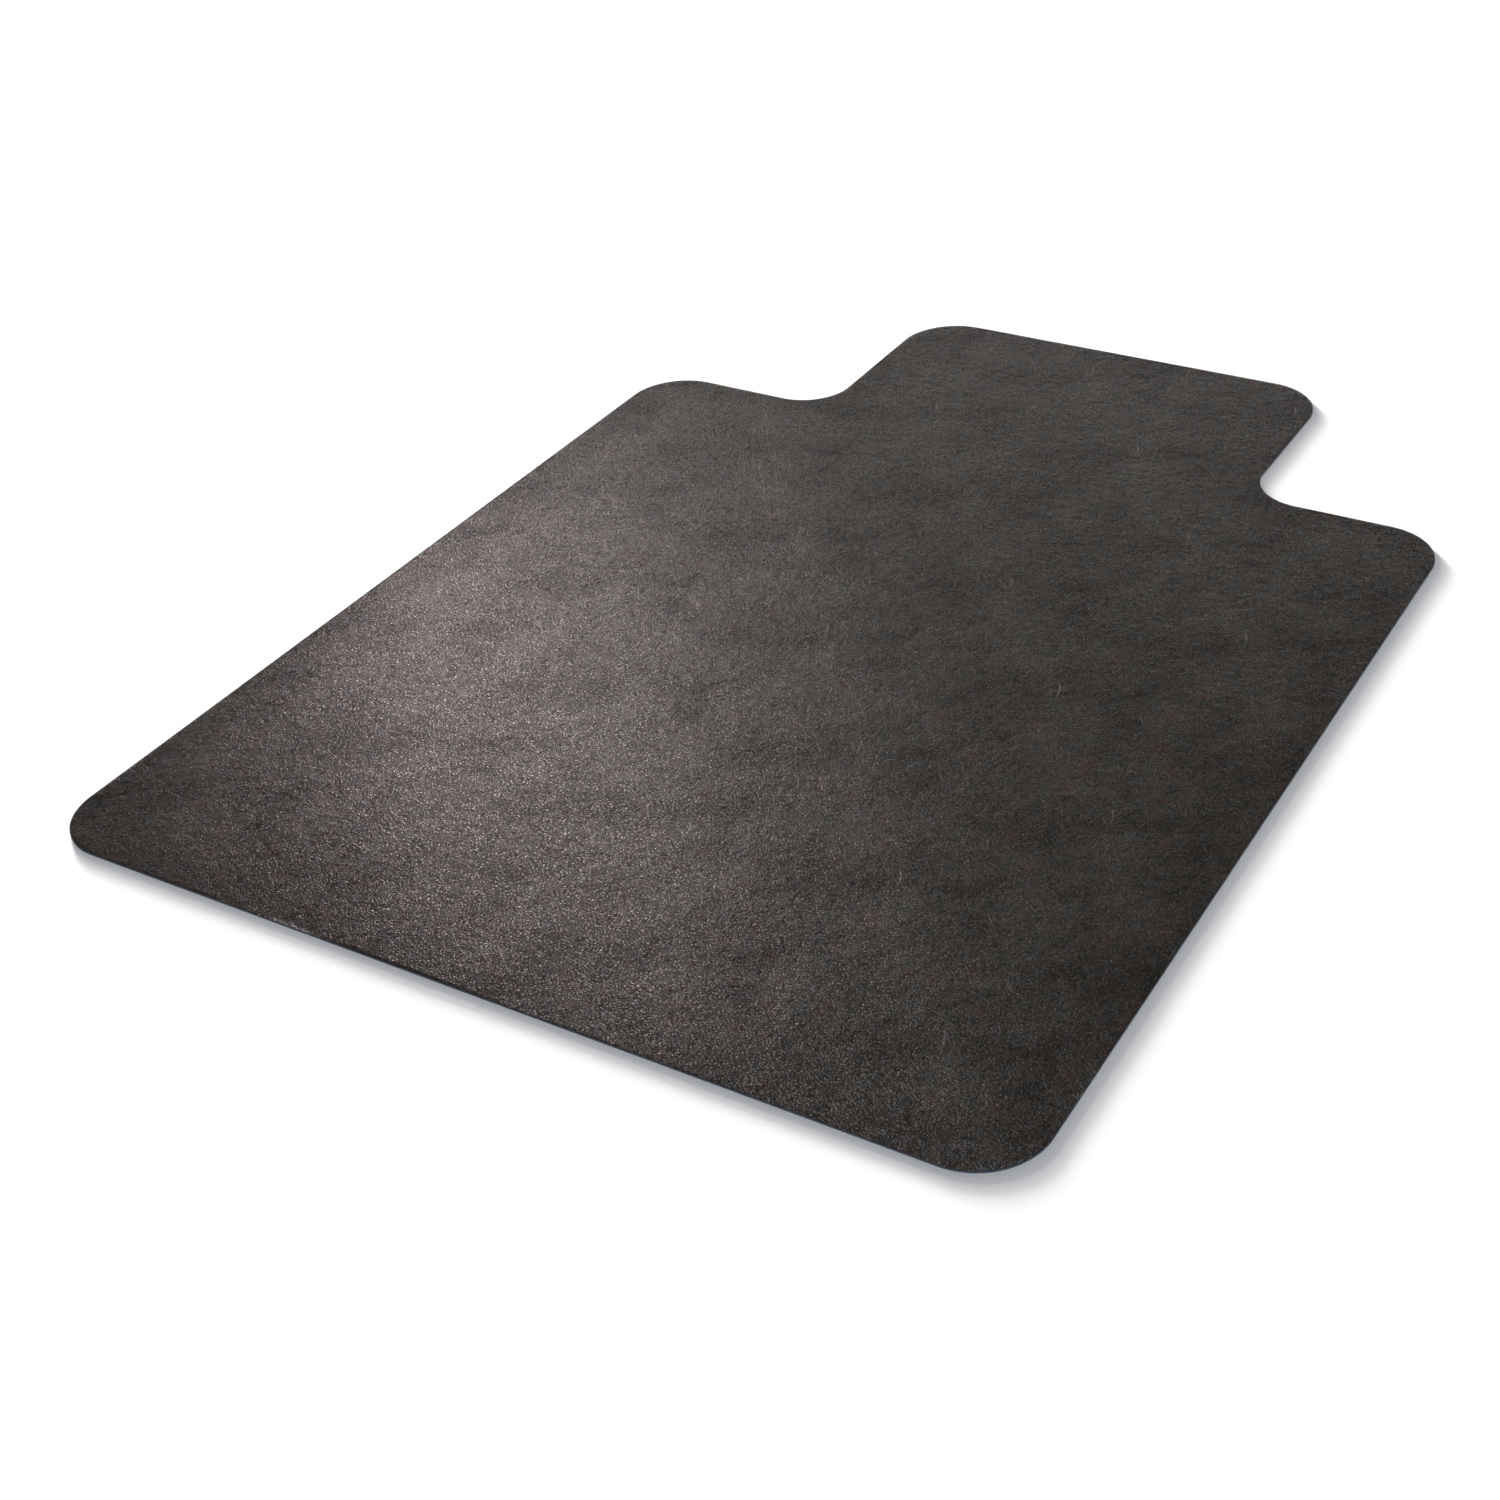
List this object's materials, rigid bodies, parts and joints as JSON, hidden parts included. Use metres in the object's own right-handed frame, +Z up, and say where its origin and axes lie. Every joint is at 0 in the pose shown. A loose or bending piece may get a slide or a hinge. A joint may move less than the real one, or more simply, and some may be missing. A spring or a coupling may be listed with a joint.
{
  "type": "lipped chair mat",
  "caption": "Flat rectangular floor mat with rounded corners and a narrower lip at one end, made as a bonded laminate with a leather-look face, for an office chair to roll on.",
  "frame": {"origin": "middle of the outline's bounding box, on the floor plane under the backing", "axes": "+Z up out of the leather-look face, +Y along the length towards the lip, +X to the right across the width"},
  "size_m": [0.9144, 1.2192, 0.0024],
  "materials": {
    "wear_skin": "embossed leather grain, satin, brown-black, with cloudy shading and fine pale creases",
    "carrier_cloth": "fine grey-black knit, matt",
    "bond_film": "smoky adhesive film",
    "core": "dense blue-black vinyl, die-cut edge",
    "grip_base": "matt non-slip backing with a fine raised pattern"
  },
  "bodies": {
    "root": {"grip_base": "grip_base", "base_bond_film": "bond_film", "core_sheet": "core", "skin_bond_film": "bond_film", "carrier_cloth": "carrier_cloth", "wear_skin": "wear_skin"}
  },
  "joints": []
}
